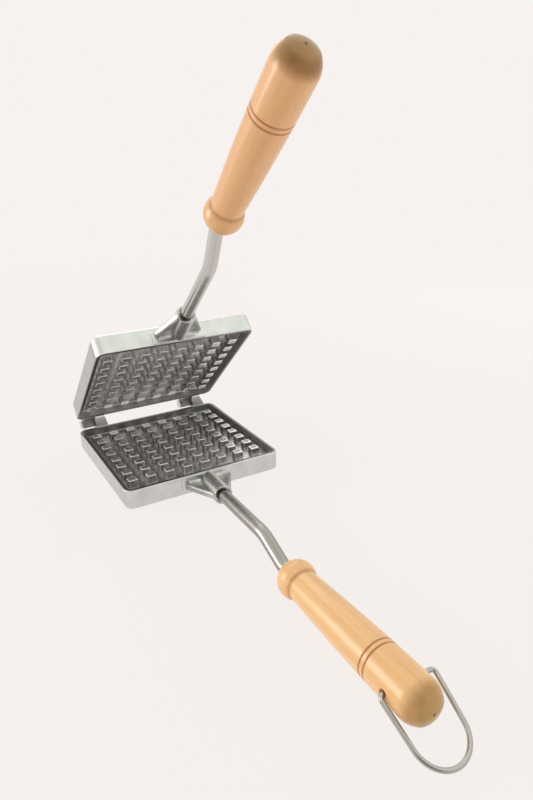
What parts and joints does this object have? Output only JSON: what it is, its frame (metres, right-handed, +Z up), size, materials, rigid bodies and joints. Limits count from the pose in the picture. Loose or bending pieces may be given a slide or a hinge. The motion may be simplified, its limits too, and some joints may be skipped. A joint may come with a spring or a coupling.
{
  "type": "hand waffle iron",
  "caption": "Hinged hand waffle iron: square cast plates with studded trays, bent steel rods, turned wooden handles and a wire bail at the handle end.",
  "frame": {"origin": "on the table, under the middle of the box of the iron as it stands open", "axes": "+Z up from the table, +X along the hinge, -Y from the hinge towards the handles"},
  "size_m": [0.13, 0.4142, 0.3111],
  "materials": {
    "cast_aluminium": "cast aluminium, satin outer walls, darker grey studded trays",
    "rod_steel": "drawn bright bar, satin",
    "wire_steel": "bright drawn wire",
    "pin_steel": "plain steel pin",
    "handle_wood": "clear lacquered turned hardwood with two burnt rings"
  },
  "bodies": {
    "lower_half": {"lower_plate": "cast_aluminium", "lower_rod": "rod_steel", "lower_handle": "handle_wood", "lower_socket_pin": "pin_steel", "left_hinge_pin": "pin_steel", "right_hinge_pin": "pin_steel"},
    "upper_half": {"upper_plate": "cast_aluminium", "upper_rod": "rod_steel", "upper_handle": "handle_wood", "upper_socket_pin": "pin_steel"},
    "bail": {"hanging_bail": "wire_steel"}
  },
  "joints": [
    {"name": "hinge", "type": "hinge", "parent": "lower_half", "child": "upper_half", "pos_m": [0, 0.20289, 0.01508], "axis": [-1, 0, 0], "range_deg": [-41.9, 138.1]},
    {"name": "bail_swing", "type": "hinge", "parent": "lower_half", "child": "bail", "pos_m": [0, -0.16706, 0.01863], "axis": [-1, 0, 0], "range_deg": [-133, 188]}
  ]
}
